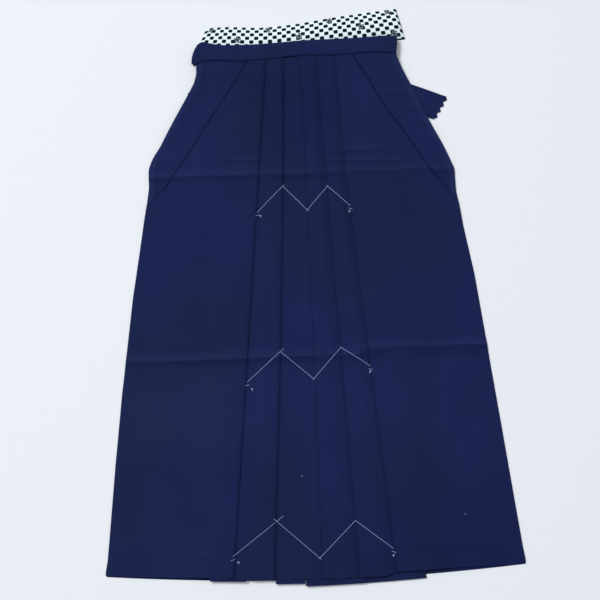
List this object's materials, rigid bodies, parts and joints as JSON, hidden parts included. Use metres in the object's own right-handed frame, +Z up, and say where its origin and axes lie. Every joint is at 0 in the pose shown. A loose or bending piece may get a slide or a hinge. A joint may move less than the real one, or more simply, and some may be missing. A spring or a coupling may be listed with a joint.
{
  "type": "hakama trousers",
  "caption": "Pleated wide-legged hakama trousers laid out flat, front up, with folded waist bands and a check facing.",
  "frame": {"origin": "middle of the garment's outline, on the surface it lies on", "axes": "+Y from the hem to the waist, +X to the right as the front is looked at, +Z up out of the front"},
  "size_m": [0.695, 1.0068, 0.0165],
  "materials": {
    "navy_cloth": "matt plain-woven navy cloth, pressed",
    "check_cloth": "matt cotton with a small black and white check"
  },
  "bodies": {
    "root": {"front_left": "navy_cloth", "front_right": "navy_cloth", "side_pleat_left": "navy_cloth", "side_pleat_right": "navy_cloth", "back_left": "navy_cloth", "back_right": "navy_cloth", "gusset_left": "navy_cloth", "gusset_right": "navy_cloth", "front_band": "navy_cloth", "back_band": "navy_cloth", "back_facing": "check_cloth", "front_tie_left": "navy_cloth", "front_tie_right": "navy_cloth", "back_tie_left": "navy_cloth", "back_tie_right": "navy_cloth"}
  },
  "joints": []
}
